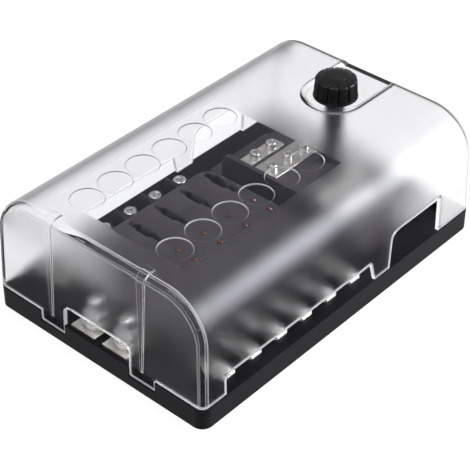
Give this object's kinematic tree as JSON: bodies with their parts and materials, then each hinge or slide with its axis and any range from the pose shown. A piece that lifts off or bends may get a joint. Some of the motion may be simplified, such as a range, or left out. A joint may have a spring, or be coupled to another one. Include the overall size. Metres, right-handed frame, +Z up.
{
  "type": "blade fuse holder",
  "caption": "Blade fuse block with sockets in two banks, screw terminals, supply studs, ground bars and a frosted lift-off cover held by a knob.",
  "frame": {"origin": "centre of the base's underside", "axes": "+X along the block from the supply end to the cover knob, +Y to the rear bank, +Z up"},
  "size_m": [0.1966, 0.1294, 0.0746],
  "materials": {
    "black_plastic": "satin sides",
    "block_plastic": "fine matt",
    "sheet_plastic": "plain",
    "frosted_plastic": "clear top window, frosted elsewhere",
    "knob_plastic": "fine grained",
    "bright_steel": "zinc-plated",
    "tinned_metal": "tin-plated",
    "brass": "turned",
    "circuit_board": "lacquered",
    "lamp_red": "clear tinted",
    "resistor_black": "plain"
  },
  "bodies": {
    "housing": {"base": "black_plastic", "bottom_plate": "sheet_plastic", "fuse_block": "block_plastic", "ground_block": "block_plastic", "cover_post": "block_plastic", "post_insert": "brass", "post_screw": "bright_steel", "terminal_screws": "bright_steel", "terminal_washers": "bright_steel", "terminal_nuts": "bright_steel", "input_studs": "bright_steel", "input_washers": "bright_steel", "input_nuts": "bright_steel", "ground_screws": "bright_steel", "ground_nuts": "bright_steel", "block_screws": "bright_steel", "plate_screws": "bright_steel", "lamp_board": "circuit_board", "fault_lamps": "lamp_red", "lamp_resistors": "resistor_black", "front_terminal_1": "tinned_metal", "front_terminal_2": "tinned_metal", "front_terminal_3": "tinned_metal", "front_terminal_4": "tinned_metal", "front_terminal_5": "tinned_metal", "front_terminal_6": "tinned_metal", "front_supply_bar": "tinned_metal", "front_outer_ground_bar": "tinned_metal", "front_inner_ground_bar": "tinned_metal", "rear_terminal_1": "tinned_metal", "rear_terminal_2": "tinned_metal", "rear_terminal_3": "tinned_metal", "rear_terminal_4": "tinned_metal", "rear_terminal_5": "tinned_metal", "rear_terminal_6": "tinned_metal", "rear_supply_bar": "tinned_metal", "rear_outer_ground_bar": "tinned_metal", "rear_inner_ground_bar": "tinned_metal"},
    "cover": {"cover": "frosted_plastic"},
    "knob": {"cover_knob": "knob_plastic", "knob_screw": "bright_steel", "knob_retainer": "bright_steel"}
  },
  "joints": [
    {"name": "cover_lift", "type": "slide", "parent": "housing", "child": "cover", "axis": [0, 0, 1], "range_m": [0, 0.06]},
    {"name": "knob_turn", "type": "hinge", "parent": "cover", "child": "knob", "pos_m": [0.068, 0, 0.06], "axis": [0, 0, 1], "continuous": true}
  ]
}
